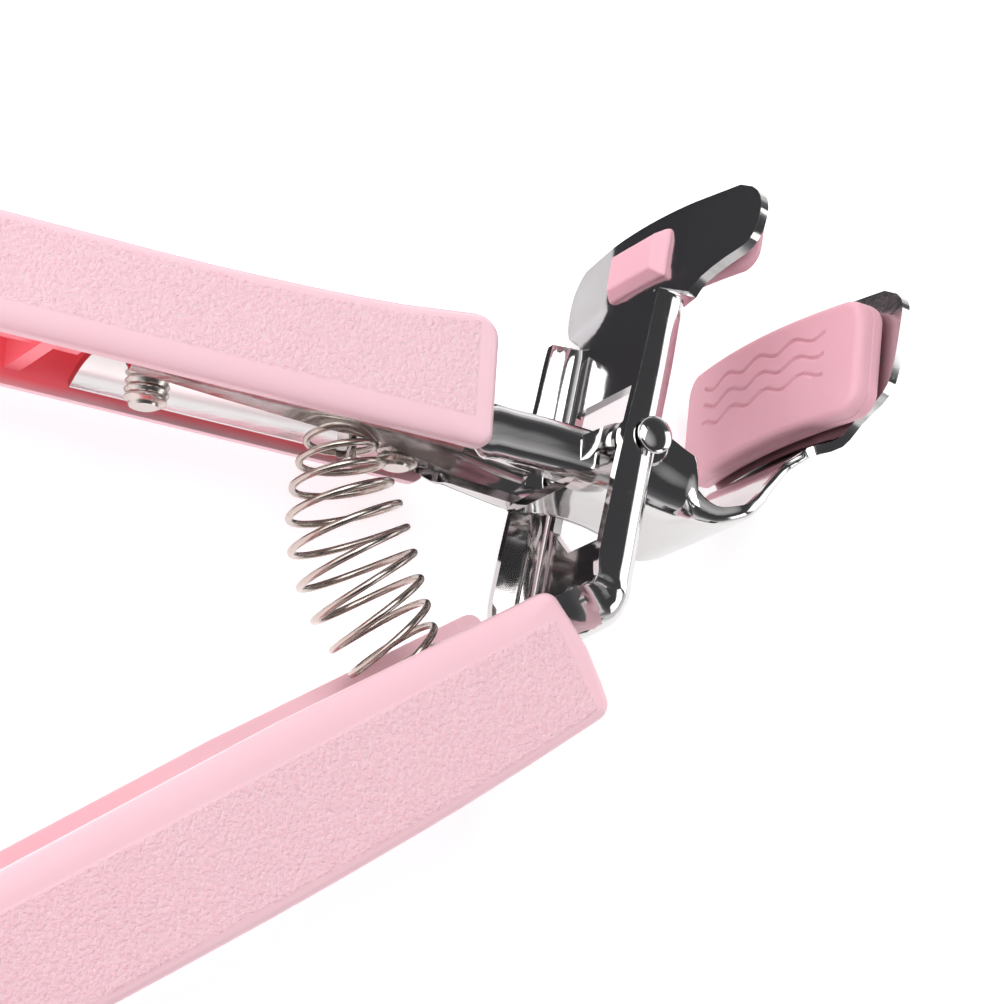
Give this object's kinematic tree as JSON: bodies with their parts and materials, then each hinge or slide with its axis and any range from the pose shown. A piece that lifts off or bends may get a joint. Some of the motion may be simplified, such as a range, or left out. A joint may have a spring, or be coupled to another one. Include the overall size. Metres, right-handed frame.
{
  "type": "bowl clip",
  "caption": "Spring-open hot-bowl clip with trough handles, crossed pressed-steel arms on a riveted pivot and rubber-padded gripping jaws.",
  "frame": {"origin": "centre of the bounding box's footprint, on the plane the clip lies on", "axes": "+X towards the jaws along the clip's length, +Y towards the upper handle in the plane of the motion, +Z along the pivot"},
  "size_m": [0.1568, 0.1018, 0.0384],
  "materials": {
    "handle_plastic": "fine moulded grain with smooth edges",
    "pad_rubber": "matt silicone rubber",
    "bright_steel": "polished plated steel sheet",
    "spring_wire": "drawn nickel-plated wire",
    "screw_steel": "rolled machine-screw thread"
  },
  "bodies": {
    "lower_side": {"lower_handle": "handle_plastic", "lower_screw_front": "screw_steel", "lower_screw_rear": "screw_steel", "rear_jaw_frame": "bright_steel", "rear_pad": "pad_rubber", "pivot_rivet_near": "bright_steel", "pivot_rivet_far": "bright_steel", "pivot_washer_near": "bright_steel", "pivot_washer_far": "bright_steel", "return_spring": "spring_wire"},
    "upper_side": {"upper_handle": "handle_plastic", "upper_screw_front": "screw_steel", "upper_screw_rear": "screw_steel", "front_jaw_arm": "bright_steel", "front_pad": "pad_rubber"}
  },
  "joints": [
    {"name": "pivot", "type": "hinge", "parent": "lower_side", "child": "upper_side", "pos_m": [0.04859, 0.00435, 0.0192], "axis": [0, 0, 1], "range_deg": [0, 25], "stiffness_Nm_per_rad": 0.75, "springref_deg": -28.65, "deforming": ["return_spring"]}
  ]
}
